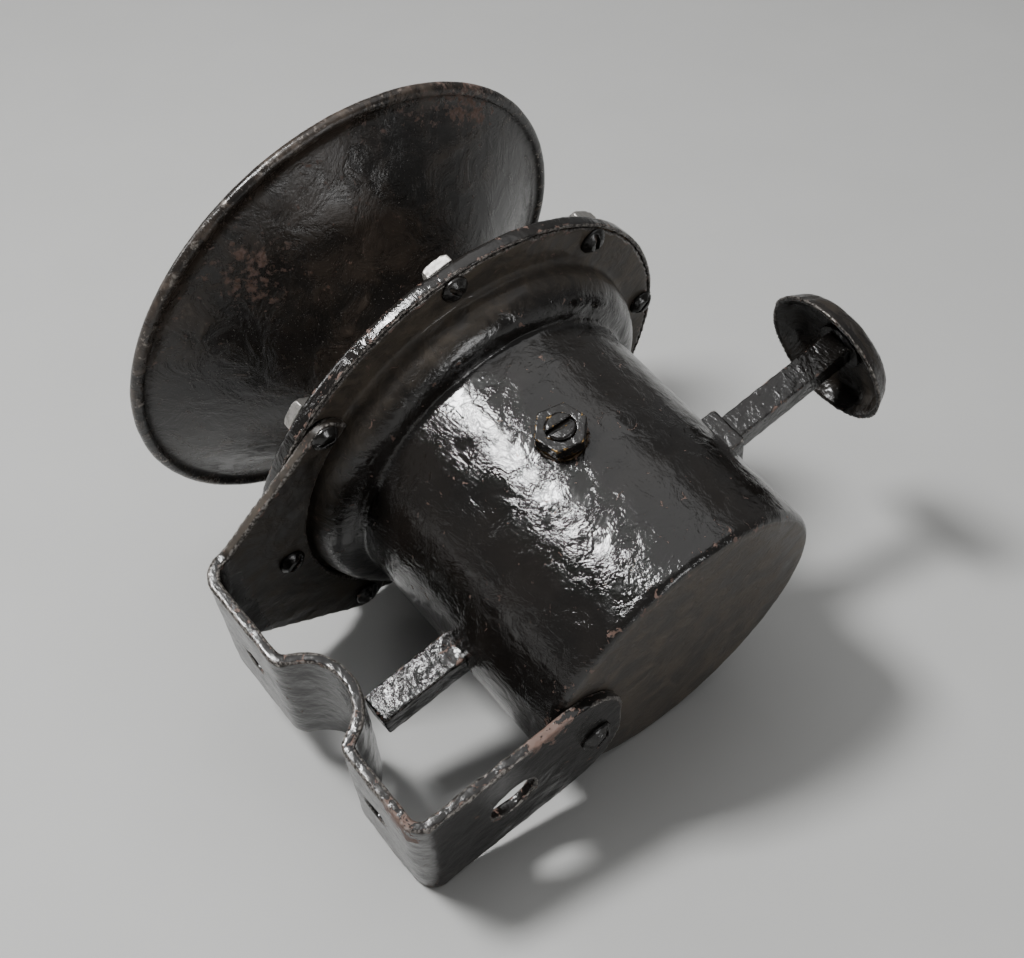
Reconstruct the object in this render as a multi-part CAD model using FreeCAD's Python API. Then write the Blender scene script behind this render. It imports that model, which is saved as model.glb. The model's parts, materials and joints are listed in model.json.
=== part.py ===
"""Hand-plunger warning horn: pushing the button drives a rack, which spins a toothed wheel
against the stud of a steel diaphragm behind the bell.

Every piece is drawn in horn axes: X along the plunger towards the button, Y along the bell
axis towards its mouth, Z across both, with the origin on the bell axis at the flange.
rest_placement() then lays the finished horn on its flange, drum edge and bracket corner.
"""
import FreeCAD, Part
import math
import os
from FreeCAD import Placement, Rotation, Vector

# ---- driving dimensions, millimetres and degrees --------------------------------------------
FLANGE_R = 70.5
FLANGE_REAR_Y = -0.7
HOUSING_SHEET = 1.3
GASKET_T = 0.6
DIAPHRAGM_T = 0.4
COVER_SHEET = 1.7
LIP_WALL = 1.3
FLANGE_FRONT_Y = FLANGE_REAR_Y + HOUSING_SHEET + 2 * GASKET_T + DIAPHRAGM_T + COVER_SHEET
STACK_R = FLANGE_R - LIP_WALL
GASKET_INNER_R = 59.5

DRUM_R = 46.9
DRUM_BACK_Y = -92.8
DRUM_CORNER_R = 3.0
SHOULDER_R = 57.5
SHOULDER_BACK_Y = -12.7
SHOULDER_ROUND = 9.5
SLOT_W = 13.2
SLOT_BACK_Y = -86.0

DISH_FRONT_Y = FLANGE_FRONT_Y + 5.2
DISH_TOP_R = 52.0
DISH_FOOT_R = 58.5
DISH_WALL_INSET = 0.9
BELL_RIVET_HEAD_R = 3.0
BELL_RIVET_HEAD_H = 1.4
THROAT_R = 16.0

BELL_SHEET = 1.0
BELL_R = 76.2
BELL_MOUTH_Y = 59.6
BEAD_R = 2.0
BELL_SEAT_R = 30.0
BELL_RIVET_CIRCLE_R = 25.0
BELL_RIVET_R = 1.6
FLARE_POWER = 1.55

SCREW_CIRCLE_R = 65.6
SCREW_COUNT = 8
SCREW_TURN = -4
SCREW_SHANK_R = 2.05
SCREW_HOLE_R = 2.2
SCREW_HEAD_R = 4.0
SCREW_HEAD_H = 2.5
SQUARE_NUT_AF = 8.0
SQUARE_NUT_T = 3.2
SCREW_TIP = 1.0
SCREW_HEAD_SPIN = 37
NUT_SPIN = 23
SLOT_SHARE = 0.28

STRAP_W = 47.6
STRAP_T = 3.2
BASE_X = -90.5
FRONT_BEND_R = 8.0
REAR_BEND_R = 6.2
SADDLE_Y = -50.7
SADDLE_R = 13.2
SADDLE_DEPTH = 11.3
SADDLE_SHOULDER_R = 5.5
REAR_ARM_END_X = -24.0
REAR_ARM_END_R = 18.0
REAR_HOLE_X = -60.8
REAR_HOLE_R = 7.3
REAR_SCREW_X = -33.4
REAR_SCREW_R = 2.4
REAR_SCREW_HEAD_R = 4.8
REAR_SCREW_HEAD_H = 2.8
BASE_HOLE_FRONT_Y = -21.5
BASE_HOLE_REAR_Y = -75.5
BASE_HOLE_R = 4.0
TIP_LAND_R = 5.6
BRACKET_TIP_ANGLE = 135
BRACKET_SCREWS = (131, 176, 221)
BRACKET_LEAN = 4.5
BRACKET_PIVOT_X = -57.0
BRACKET_OFFSET_Z = 1.6

PLUNGER_Y = -53.9
BAR_W = 8.3
BAR_INNER_X = -6.0
TRAVEL = 32.0
SLIDE_GAP = 0.1
BUTTON_R = 21.8
BUTTON_RIM_X = 90.0
BUTTON_TOP_X = 99.0
BUTTON_EDGE_X = 97.2
BUTTON_SHEET = 1.6
BUTTON_CROWN = 0.84
TENON_R = 3.0
COLLAR_W = 13.0
COLLAR_FACE_X = 52.9
COLLAR_INNER_X = 40.5
STOP_PIN_R = 1.2
TUBE_W = 9.6
TUBE_END_X = -74.2
TUBE_INNER_X = -40.9
TUBE_BORE_R = 3.8
TAIL_ROD_R = 1.7
TAIL_ROD_SEAT_L = 8
COLLAR_FLANGE_W = 18.0
TUBE_FLANGE_W = 16.0
SEAT_FLANGE_T = 1.6
COLLAR_ROUND = 1.2
TUBE_ROUND = 0.8
BUTTON_WASHER_R = 7.5
TAIL_ROD_END_X = BAR_INNER_X - TRAVEL
SPRING_R = 3.05
SPRING_WIRE_R = 0.45
SPRING_TURNS = 15

PRESSURE_ANGLE = 25.0
ADDENDUM = 0.8
DEDENDUM = 1.05
BACKLASH = 0.16
RACK_MODULE = 1.0
RACK_PINION_TEETH = 14
TRAIN_MODULE = 0.8
DRIVE_TEETH = 42
ROTOR_TEETH = 10
GEAR_X = 3.0
SHAFT_R = 3.0
ROTOR_SHAFT_R = 2.5
SPIGOT_R = 2.0
RUNNING_GAP = 0.05
PINION_HALF_W = 4.5
GEAR_LOW_Z = 8.0
GEAR_W = 5.0
LIGHTENING_CIRCLE_R = 11.0
LIGHTENING_HOLE_R = 2.6
RATCHET_TEETH = 16
RATCHET_R = 6.8
RATCHET_TOOTH_H = 1.2
RATCHET_W = 2.2
PAWL_L = 5.5
WHEEL_R = 12.3
WHEEL_HALF_W = 4.0
WHEEL_TEETH = 9
WHEEL_TOOTH_H = 1.3

FRAME_HALF_Z = 20.0
FRAME_SHEET = 2.0
FRAME_HALF_W = 12.0
FRAME_FRONT_Y = -14.5
FRAME_BASE_XS = (-40, 26)
FRAME_BASE_HALF_Z = 15
FRAME_STUD_XS = (-14.0, 20.0)
FRAME_STUD_R = 1.5
BRIDGE_TOP_Y = -63.0
GUIDE_HALF_L = 9.0
BUSH_R = 6.0
BUSH_FLANGE_R = 8.0
BUSH_INNER_Z = 41.0
BUSH_FLANGE_T = 2.0
BEARING_SCREW_R = 4.0
BEARING_SCREW_INNER_Z = 40.0
BEARING_SCREW_OUTER_Z = 53.0
BUSH_SEAT_Z = 47.6
BEARING_SLOT_W = 1.5
BEARING_SCREW_SPIN = 85
DRIVER_SLOT_DEPTH = 1.8
LOCKNUT_SPIN = 14
SPIGOT_L = 4.5
LOCKNUT_AF = 12.7
LOCKNUT_T = 4.4

ANVIL_R = 4.0
ANVIL_TIP_Y = -10.0
ANVIL_STUD_R = 2.5
ANVIL_COLLAR_R = 5.5
ANVIL_COLLAR_T = 1.4
ANVIL_WASHER_T = 1.0
SMALL_NUT_AF = 8.0
SMALL_NUT_T = 3.3

# Angles at which the flange rim, the drum's back edge and a bracket corner are level.
REST_TILT = 14.72
REST_ROLL = 17.44

# ---- worked out from the driving dimensions -------------------------------------------------
X_AXIS = Vector(1, 0, 0)
Y_AXIS = Vector(0, 1, 0)
Z_AXIS = Vector(0, 0, 1)
BAR_TOP_Y = PLUNGER_Y + BAR_W / 2
RACK_PITCH_Y = BAR_TOP_Y - ADDENDUM * RACK_MODULE
RACK_PINION_R = RACK_MODULE * RACK_PINION_TEETH / 2
DRIVE_SHAFT_Y = RACK_PITCH_Y + RACK_PINION_R
ROTOR_SHAFT_Y = DRIVE_SHAFT_Y + TRAIN_MODULE * (DRIVE_TEETH + ROTOR_TEETH) / 2
INNER_BACK_Y = DRUM_BACK_Y + HOUSING_SHEET
STRAP_INNER_Y = DRUM_BACK_Y
STRAP_OUTER_Y = DRUM_BACK_Y - STRAP_T
PLATE_REAR_Y = FLANGE_REAR_Y - STRAP_T
FRAME_BASE_Y = INNER_BACK_Y + FRAME_SHEET
TUBE_BORE_END_X = TUBE_END_X + 1.5
BAR_SHOULDER_X = BUTTON_TOP_X - BUTTON_SHEET - 1.9


# ---- shape helpers --------------------------------------------------------------------------
def corner_wire(corners):
    """Closed wire in the XY plane; each corner is (x, y) or (x, y, rounding radius)."""
    points = [Vector(c[0], c[1], 0) for c in corners]
    radii = [c[2] if len(c) > 2 else 0 for c in corners]
    edges = []
    starts = []
    ends = []
    for i, here in enumerate(points):
        back = (points[i - 1] - here).normalize()
        ahead = (points[(i + 1) % len(points)] - here).normalize()
        half = back.getAngle(ahead) / 2
        reach = radii[i] / math.tan(half)
        starts.append(here + back * reach)
        ends.append(here + ahead * reach)
        if radii[i]:
            bisector = (back + ahead).normalize()
            middle = here + bisector * (radii[i] / math.sin(half) - radii[i])
            edges.append(Part.Arc(starts[i], middle, ends[i]).toShape())
    for i in range(len(points)):
        nxt = starts[(i + 1) % len(points)]
        if ends[i].distanceToPoint(nxt) > 1e-6:
            edges.append(Part.LineSegment(ends[i], nxt).toShape())
    return Part.Wire(Part.__sortEdges__(edges))


def turned(corners, axis=Y_AXIS, through=Vector(0, 0, 0)):
    """Full revolution of a corner outline about an axis."""
    return Part.Face(corner_wire(corners)).revolve(through, axis, 360)


def rod(radius, start, end):
    """Cylinder from one point to another."""
    return Part.makeCylinder(radius, start.distanceToPoint(end), start, end - start)


def block(x, y, z):
    """Box from three (low, high) pairs."""
    return Part.makeBox(x[1] - x[0], y[1] - y[0], z[1] - z[0], Vector(x[0], y[0], z[0]))


def prism(sides, across_flats, thickness):
    """Regular prism on the XY plane, standing along +Z."""
    radius = across_flats / 2 / math.cos(math.pi / sides)
    points = []
    for i in range(sides + 1):
        angle = 2 * math.pi * (i + 0.5) / sides
        points.append(Vector(radius * math.cos(angle), radius * math.sin(angle), 0))
    return Part.Face(Part.makePolygon(points)).extrude(Vector(0, 0, thickness))


def slotted_head(radius, height):
    """Round screw head on the XY plane with its dome along +Z."""
    rim = radius * 0.55
    slot_w = radius * SLOT_SHARE
    outline = [(0, 0), (radius, 0), (radius, height * 0.35, 0.4), (rim, height, 1.2), (0, height)]
    head = turned(outline)
    head.rotate(Vector(0, 0, 0), X_AXIS, 90)
    slot = block((-radius, radius), (-slot_w / 2, slot_w / 2), (height / 2, height * 2))
    return head.cut(slot)


def bored_nut(sides, across_flats, thickness, bore_r):
    """Nut on the XY plane with the corners of its outer face rounded off."""
    reach = across_flats / 2 * 1.12
    drop = across_flats * 0.4
    crown = Part.makeSphere(math.hypot(reach, drop + thickness), Z_AXIS * -drop)
    nut = prism(sides, across_flats, thickness).common(crown)
    return nut.cut(rod(bore_r, Z_AXIS * -1, Z_AXIS * 2 * thickness))


def aim(shape, direction, place, spin=0):
    """Turn a shape built along +Z to point along a direction, and move it into place."""
    turn = Rotation(Z_AXIS, direction) * Rotation(Z_AXIS, spin)
    shape.Placement = Placement(place, turn)
    return shape


def on_screw_circle(angle, y):
    """Point of the flange screw circle at an angle from the plunger axis."""
    a = math.radians(angle)
    return Vector(SCREW_CIRCLE_R * math.cos(a), y, SCREW_CIRCLE_R * math.sin(a))


def screw_angles():
    return [SCREW_TURN + i * 360 // SCREW_COUNT for i in range(SCREW_COUNT)]


def drilled(shape, radius, angles=None):
    """Cut the flange screw holes through a shape."""
    for angle in screw_angles() if angles is None else angles:
        low = on_screw_circle(angle, FLANGE_REAR_Y - 20)
        high = on_screw_circle(angle, FLANGE_FRONT_Y + 20)
        shape = shape.cut(rod(radius, low, high))
    return shape


# ---- gear outlines --------------------------------------------------------------------------
def involute(angle):
    return math.tan(angle) - angle


def gear_wire(teeth, module, tooth_at):
    """Closed outline of a spur gear in the XY plane, with a tooth centred at an angle."""
    pitch_r = teeth * module / 2
    base_r = pitch_r * math.cos(math.radians(PRESSURE_ANGLE))
    tip_r = pitch_r + ADDENDUM * module
    root_r = pitch_r - DEDENDUM * module
    flank_r = max(base_r, root_r) + 0.001
    half = (math.pi * module / 2 - BACKLASH) / 2 / pitch_r + involute(math.radians(PRESSURE_ANGLE))
    samples = 5
    radii = [flank_r + (tip_r - flank_r) * i / (samples - 1) for i in range(samples)]
    offsets = [half - involute(math.acos(base_r / r)) for r in radii]

    def polar(radius, angle):
        return Vector(radius * math.cos(angle), radius * math.sin(angle), 0)

    edges = []
    step = 2 * math.pi / teeth
    for i in range(teeth):
        centre = math.radians(tooth_at) + i * step
        rise = [polar(r, centre - a) for r, a in zip(radii, offsets)]
        fall = [polar(r, centre + a) for r, a in zip(reversed(radii), reversed(offsets))]
        foot_in = polar(root_r, centre - offsets[0])
        foot_out = polar(root_r, centre + offsets[0])
        next_foot = polar(root_r, centre + step - offsets[0])
        edges.append(Part.LineSegment(foot_in, rise[0]).toShape())
        edges.append(flank(rise))
        edges.append(Part.Arc(rise[-1], polar(tip_r, centre), fall[0]).toShape())
        edges.append(flank(fall))
        edges.append(Part.LineSegment(fall[-1], foot_out).toShape())
        edges.append(Part.Arc(foot_out, polar(root_r, centre + step / 2), next_foot).toShape())
    return Part.Wire(edges)


def flank(points):
    curve = Part.BSplineCurve()
    curve.interpolate(points)
    return curve.toShape()


def spur_gear(teeth, module, tooth_at, bore_r, centre_y, low_z, width):
    """Spur gear on an axis along Z through (GEAR_X, centre_y)."""
    gear = Part.Face(gear_wire(teeth, module, tooth_at)).extrude(Vector(0, 0, width))
    gear = gear.cut(rod(bore_r, Vector(0, 0, -1), Vector(0, 0, width + 1)))
    gear.translate(Vector(GEAR_X, centre_y, low_z))
    return gear


# ---- bell and sounding stack ----------------------------------------------------------------
def bell_curve(throat, mouth, share):
    """Point of the bell's inner surface and its outward normal, at a share of the length."""
    flare = mouth.x - throat.x
    length = mouth.y - throat.y
    point = Vector(throat.x + flare * share ** FLARE_POWER, throat.y + length * share, 0)
    slope = flare * FLARE_POWER * share ** (FLARE_POWER - 1)
    return point, Vector(length, -slope, 0).normalize()


def bell_horn():
    """Spun trumpet with a flat seat at its throat and a rolled bead at its mouth."""
    bead = Vector(BELL_R - BEAD_R, BELL_MOUTH_Y - BEAD_R, 0)

    def on_bead(degrees):
        a = math.radians(degrees)
        return bead + Vector(BEAD_R * math.cos(a), BEAD_R * math.sin(a), 0)

    throat = Vector(THROAT_R, DISH_FRONT_Y, 0)
    mouth = on_bead(165)
    back_end = on_bead(205)
    seat_y = DISH_FRONT_Y + BELL_SHEET
    inner = [throat]
    outer = [Vector(THROAT_R + BELL_SHEET, seat_y, 0)]
    for step in range(1, 10):
        point, normal = bell_curve(throat, mouth, step / 10)
        inner.append(point)
        outer.append(point + normal * BELL_SHEET)
    seat_low = Vector(BELL_SEAT_R, DISH_FRONT_Y, 0)
    seat_high = Vector(BELL_SEAT_R, seat_y, 0)
    edges = [
        flank(outer + [back_end]),
        Part.Arc(back_end, on_bead(5), mouth).toShape(),
        flank([mouth] + inner[::-1]),
        Part.LineSegment(throat, seat_low).toShape(),
        Part.LineSegment(seat_low, seat_high).toShape(),
        Part.LineSegment(seat_high, outer[0]).toShape(),
    ]
    bell = Part.Face(Part.Wire(edges)).revolve(Vector(0, 0, 0), Y_AXIS, 360)
    for place in bell_rivet_places(0):
        bell = bell.cut(rod(BELL_RIVET_R, place - Y_AXIS * 5, place + Y_AXIS * seat_y))
    return bell


def bell_rivet_places(y):
    places = []
    for i in range(6):
        a = math.radians(30 + 60 * i)
        places.append(Vector(BELL_RIVET_CIRCLE_R * math.cos(a), y, BELL_RIVET_CIRCLE_R * math.sin(a)))
    return places


def bell_rivets():
    """Rivets that hold the bell's seat on the cover."""
    rivets = []
    low = DISH_FRONT_Y - COVER_SHEET
    high = DISH_FRONT_Y + BELL_SHEET
    for place in bell_rivet_places(0):
        shank = rod(BELL_RIVET_R, place + Y_AXIS * low, place + Y_AXIS * high)
        top = high + BELL_RIVET_HEAD_H
        head = turned([(0, high), (BELL_RIVET_HEAD_R, high), (BELL_RIVET_HEAD_R * 0.73, top, 0.8), (0, top)])
        tail = turned([(0, low), (2.6, low), (2.6, low - 0.9, 0.4), (0, low - 0.9)])
        head.translate(place)
        tail.translate(place)
        rivets.append(shank.fuse([head, tail]).removeSplitter())
    return rivets


def front_cover():
    """Dished cover whose rolled lip wraps the whole flange stack."""
    back_y = FLANGE_FRONT_Y - COVER_SHEET
    dish_back_y = DISH_FRONT_Y - COVER_SHEET
    outline = [
        (THROAT_R, DISH_FRONT_Y), (DISH_TOP_R, DISH_FRONT_Y, 3.0), (DISH_FOOT_R, FLANGE_FRONT_Y, 1.5),
        (FLANGE_R, FLANGE_FRONT_Y, 1.1), (FLANGE_R, FLANGE_REAR_Y, 0.4), (STACK_R, FLANGE_REAR_Y, 0.4),
        (STACK_R, back_y), (DISH_FOOT_R - DISH_WALL_INSET, back_y, 3.0),
        (DISH_TOP_R - DISH_WALL_INSET, dish_back_y, 1.5), (THROAT_R, dish_back_y),
    ]
    cover = drilled(turned(outline), SCREW_HOLE_R)
    for place in bell_rivet_places(0):
        cover = cover.cut(rod(BELL_RIVET_R, place, place + Y_AXIS * 30))
    return cover


def ring(inner_r, low_y, high_y):
    """Flat ring of the flange stack with the screw holes in it."""
    outline = [(inner_r, low_y), (STACK_R, low_y), (STACK_R, high_y), (inner_r, high_y)]
    return drilled(turned(outline), SCREW_HOLE_R)


def stack_levels():
    """Rear faces of the rear gasket, diaphragm and front gasket, then the cover's."""
    rear_gasket = FLANGE_REAR_Y + HOUSING_SHEET
    sheet = rear_gasket + GASKET_T
    front = sheet + DIAPHRAGM_T
    return rear_gasket, sheet, front, front + GASKET_T


def diaphragm_anvil():
    """Hardened stud through the middle of the diaphragm; the wheel's teeth strike its tip."""
    _, rear, front, _ = stack_levels()
    stud = rod(ANVIL_STUD_R, Y_AXIS * (rear - 1), Y_AXIS * (front + ANVIL_WASHER_T + SMALL_NUT_T + 0.7))
    collar_y = rear - ANVIL_COLLAR_T
    tip = turned([(0, rear), (ANVIL_COLLAR_R, rear), (ANVIL_COLLAR_R, collar_y, 0.5),
                  (ANVIL_R, collar_y - 0.5), (ANVIL_R, ANVIL_TIP_Y, 0.9), (0, ANVIL_TIP_Y)])
    return tip.fuse(stud).removeSplitter()


def anvil_washer():
    low = stack_levels()[2]
    high = low + ANVIL_WASHER_T
    rim = ANVIL_STUD_R * 2.6
    return turned([(ANVIL_STUD_R, low), (rim, low), (rim, high), (ANVIL_STUD_R, high)])


def anvil_nut():
    nut = bored_nut(6, SMALL_NUT_AF, SMALL_NUT_T, ANVIL_STUD_R)
    return aim(nut, Y_AXIS, Y_AXIS * (stack_levels()[2] + ANVIL_WASHER_T))


# ---- housing --------------------------------------------------------------------------------
def housing_drum():
    """Pressed drum: flange, rounded shoulder and plain can with a flat back."""
    t = HOUSING_SHEET
    outline = [
        (0, DRUM_BACK_Y), (DRUM_R, DRUM_BACK_Y, DRUM_CORNER_R), (DRUM_R, SHOULDER_BACK_Y, 1.2),
        (SHOULDER_R, SHOULDER_BACK_Y, SHOULDER_ROUND), (SHOULDER_R, FLANGE_REAR_Y, 1.5),
        (STACK_R, FLANGE_REAR_Y), (STACK_R, FLANGE_REAR_Y + t),
        (SHOULDER_R - t, FLANGE_REAR_Y + t, 1.5 + t),
        (SHOULDER_R - t, SHOULDER_BACK_Y + t, SHOULDER_ROUND - t),
        (DRUM_R - t, SHOULDER_BACK_Y + t, 1.2 + t), (DRUM_R - t, INNER_BACK_Y, DRUM_CORNER_R - t),
        (0, INNER_BACK_Y),
    ]
    drum = drilled(turned(outline), SCREW_HOLE_R)
    drum = drum.cut(side_slot())
    drum = drum.cut(square_bar(TUBE_W, -DRUM_R - 5, TUBE_INNER_X))
    bearing = Vector(GEAR_X, DRIVE_SHAFT_Y, 0)
    drum = drum.cut(rod(BUSH_R, bearing - Z_AXIS * 60, bearing + Z_AXIS * 60))
    drum = drum.cut(rod(REAR_SCREW_R, rear_screw_place() - Y_AXIS * 5, rear_screw_place() + Y_AXIS * 10))
    return drum


def side_slot():
    """Round-ended slot in the can's side, through which the plunger parts go in."""
    half = SLOT_W / 2
    front_y = PLUNGER_Y + half
    outline = [(front_y, -half), (front_y, half),
               (SLOT_BACK_Y, half, half * 0.98), (SLOT_BACK_Y, -half, half * 0.98)]
    slot = Part.Face(corner_wire(outline)).extrude(Vector(0, 0, DRUM_R))
    slot.Placement = Placement(X_AXIS * (DRUM_R * 0.7), Rotation(Vector(1, 1, 1), 120))
    return slot


def flange_screws():
    """Slotted round-head screws, longer ones where the bracket lies under the head."""
    screws = []
    tip_y = FLANGE_FRONT_Y + SQUARE_NUT_T + SCREW_TIP
    for angle in screw_angles():
        seat_y = PLATE_REAR_Y if angle in BRACKET_SCREWS else FLANGE_REAR_Y
        seat = on_screw_circle(angle, seat_y)
        head = aim(slotted_head(SCREW_HEAD_R, SCREW_HEAD_H), Y_AXIS * -1, seat, SCREW_HEAD_SPIN * angle)
        shank = rod(SCREW_SHANK_R, seat, on_screw_circle(angle, tip_y))
        screws.append(head.fuse(shank).removeSplitter())
    return screws


def flange_nuts():
    """Bright square nuts on the bell side of the flange."""
    nuts = []
    for angle in screw_angles():
        nut = bored_nut(4, SQUARE_NUT_AF, SQUARE_NUT_T, SCREW_SHANK_R)
        nuts.append(aim(nut, Y_AXIS, on_screw_circle(angle, FLANGE_FRONT_Y), NUT_SPIN * angle))
    return nuts


# ---- mounting bracket -----------------------------------------------------------------------
def bracket_lean():
    """Placement of the bracket, which sits a little askew on the drum."""
    pivot = Vector(BRACKET_PIVOT_X, 0, 0)
    turn = Placement(Vector(0, 0, 0), Rotation(Y_AXIS, BRACKET_LEAN), pivot)
    return Placement(Z_AXIS * BRACKET_OFFSET_Z, Rotation()).multiply(turn)


def saddle_edges(line_x, trough_r, shoulder_r):
    """Arc midpoints and joints of one face of the saddle, from the front shoulder to the rear."""
    centre_x = BASE_X + SADDLE_DEPTH - SADDLE_R
    shoulder_x = line_x + shoulder_r
    gap = trough_r + shoulder_r
    half = math.sqrt(gap ** 2 - (shoulder_x - centre_x) ** 2)
    edges = []
    joints = []
    for sign in (1, -1):
        y = SADDLE_Y + sign * half
        start = Vector(line_x, y, 0)
        to_centre = Vector(centre_x - shoulder_x, SADDLE_Y - y, 0).normalize()
        join = Vector(shoulder_x, y, 0) + to_centre * shoulder_r
        bulge = (to_centre + X_AXIS * -1).normalize()
        middle = Vector(shoulder_x, y, 0) + bulge * shoulder_r
        edges.append(Part.Arc(start, middle, join).toShape())
        joints.append((start, join))
    bottom = Vector(centre_x + trough_r, SADDLE_Y, 0)
    edges.append(Part.Arc(joints[0][1], bottom, joints[1][1]).toShape())
    return edges, joints[0][0], joints[1][0]


def bend(corner, radius, turn_x, turn_y):
    """Quarter arc that rounds a square corner; the turns point from it into the bend."""
    along_x = corner + X_AXIS * (turn_x * radius)
    along_y = corner + Y_AXIS * (turn_y * radius)
    inset = radius * (1 - math.sqrt(0.5))
    middle = corner + Vector(turn_x * inset, turn_y * inset, 0)
    return Part.Arc(along_x, middle, along_y).toShape(), along_x, along_y


def strap():
    """The bent strap: front bend, base with its saddle, rear bend and rear arm."""
    t = STRAP_T
    inner_x = BASE_X + t
    plate_x = BASE_X + 14
    outer_saddle, outer_a, outer_b = saddle_edges(BASE_X, SADDLE_R, SADDLE_SHOULDER_R)
    inner_saddle, inner_a, inner_b = saddle_edges(inner_x, SADDLE_R + t, SADDLE_SHOULDER_R - t)
    front_out = bend(Vector(BASE_X, FLANGE_REAR_Y, 0), FRONT_BEND_R, 1, -1)
    rear_out = bend(Vector(BASE_X, STRAP_OUTER_Y, 0), REAR_BEND_R, 1, 1)
    front_in = bend(Vector(inner_x, PLATE_REAR_Y, 0), FRONT_BEND_R - t, 1, -1)
    rear_in = bend(Vector(inner_x, STRAP_INNER_Y, 0), REAR_BEND_R - t, 1, 1)
    front_top = Vector(plate_x, FLANGE_REAR_Y, 0)
    front_low = Vector(plate_x, PLATE_REAR_Y, 0)
    end_top = Vector(REAR_ARM_END_X, STRAP_OUTER_Y, 0)
    end_low = Vector(REAR_ARM_END_X, STRAP_INNER_Y, 0)
    lines = [
        (front_low, front_top), (front_top, front_out[1]), (front_out[2], outer_a),
        (outer_b, rear_out[2]), (rear_out[1], end_top), (end_top, end_low),
        (end_low, rear_in[1]), (rear_in[2], inner_b), (inner_a, front_in[2]),
        (front_in[1], front_low),
    ]
    edges = [Part.LineSegment(a, b).toShape() for a, b in lines]
    edges += outer_saddle + inner_saddle + [front_out[0], rear_out[0], front_in[0], rear_in[0]]
    body = Part.Face(Part.Wire(Part.__sortEdges__(edges)))
    body.translate(Z_AXIS * (-STRAP_W / 2))
    return body.extrude(Z_AXIS * STRAP_W)


def front_plate():
    """Forked plate of the bracket against the flange, out to the three shared screws."""
    half = STRAP_W / 2
    corner_x = BASE_X + FRONT_BEND_R
    tip = on_screw_circle(BRACKET_TIP_ANGLE, 0)
    reach = math.hypot(corner_x, half)
    edge_angle = math.atan2(half, corner_x) - math.acos(FLANGE_R / reach)
    normal = Vector(math.cos(edge_angle), math.sin(edge_angle), 0)
    along = Vector(normal.y, -normal.x, 0)
    foot = normal * FLANGE_R
    land = foot + along * ((Vector(tip.x, tip.z, 0) - foot).dot(along) + TIP_LAND_R)
    inner = Vector(land.x, land.y, 0) - normal * (2 * TIP_LAND_R)
    outline = [(BASE_X + 10, -half), (corner_x, -half), (land.x, -land.y, TIP_LAND_R),
               (inner.x, -inner.y, TIP_LAND_R * 0.6), (BASE_X + 40, 0), (inner.x, inner.y, TIP_LAND_R * 0.6),
               (land.x, land.y, TIP_LAND_R), (corner_x, half), (BASE_X + 10, half)]
    plate = Part.Face(corner_wire(outline)).extrude(Z_AXIS * STRAP_T)
    plate.Placement = Placement(Y_AXIS * FLANGE_REAR_Y, Rotation(X_AXIS, 90))
    return plate


def rear_screw_place():
    """Centre of the bracket's rear screw on the drum back."""
    return bracket_lean().multVec(Vector(REAR_SCREW_X, STRAP_INNER_Y, 0))


def mounting_bracket():
    """One-piece bracket from thick strap, with bolt holes either side of its saddle."""
    body = strap().fuse(front_plate())
    half = STRAP_W / 2
    reach = 40
    end = [(REAR_ARM_END_X, -half, REAR_ARM_END_R), (REAR_ARM_END_X, half, REAR_ARM_END_R),
           (REAR_ARM_END_X - reach, half), (REAR_ARM_END_X - reach, -half)]
    keep = Part.Face(corner_wire(end)).extrude(Z_AXIS * 20)
    keep.Placement = Placement(Y_AXIS * (STRAP_INNER_Y + 8), Rotation(X_AXIS, 90))
    past = block((REAR_ARM_END_X - reach, 0), (STRAP_OUTER_Y - 5, STRAP_INNER_Y + 5), (-half - 1, half + 1))
    body = body.cut(past.cut(keep))
    rear = Vector(0, STRAP_OUTER_Y, 0)
    for x, radius in ((REAR_HOLE_X, REAR_HOLE_R), (REAR_SCREW_X, REAR_SCREW_R)):
        place = rear + X_AXIS * x
        body = body.cut(rod(radius, place - Y_AXIS * 5, place + Y_AXIS * 10))
    for y in (BASE_HOLE_FRONT_Y, BASE_HOLE_REAR_Y):
        place = Vector(BASE_X, y, 0)
        body = body.cut(rod(BASE_HOLE_R, place - X_AXIS * 5, place + X_AXIS * 10))
    body.Placement = bracket_lean().multiply(body.Placement)
    body = body.cut(rod(SHOULDER_R + 1.7, Y_AXIS * -20, Y_AXIS * 20))
    return drilled(body, SCREW_HOLE_R, BRACKET_SCREWS).removeSplitter()


def bracket_rear_screw():
    """Round-head screw through the rear arm, the drum back and the gear frame."""
    place = rear_screw_place()
    seat = place - Y_AXIS * STRAP_T
    head = aim(slotted_head(REAR_SCREW_HEAD_R, REAR_SCREW_HEAD_H), Y_AXIS * -1, seat, SCREW_HEAD_SPIN)
    shank = rod(REAR_SCREW_R, seat, Vector(place.x, FRAME_BASE_Y + SMALL_NUT_T + 1.5, place.z))
    return head.fuse(shank).removeSplitter()


def bracket_rear_nut():
    place = rear_screw_place()
    nut = bored_nut(6, SMALL_NUT_AF, SMALL_NUT_T, REAR_SCREW_R)
    return aim(nut, Y_AXIS, Vector(place.x, FRAME_BASE_Y, place.z))


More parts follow.
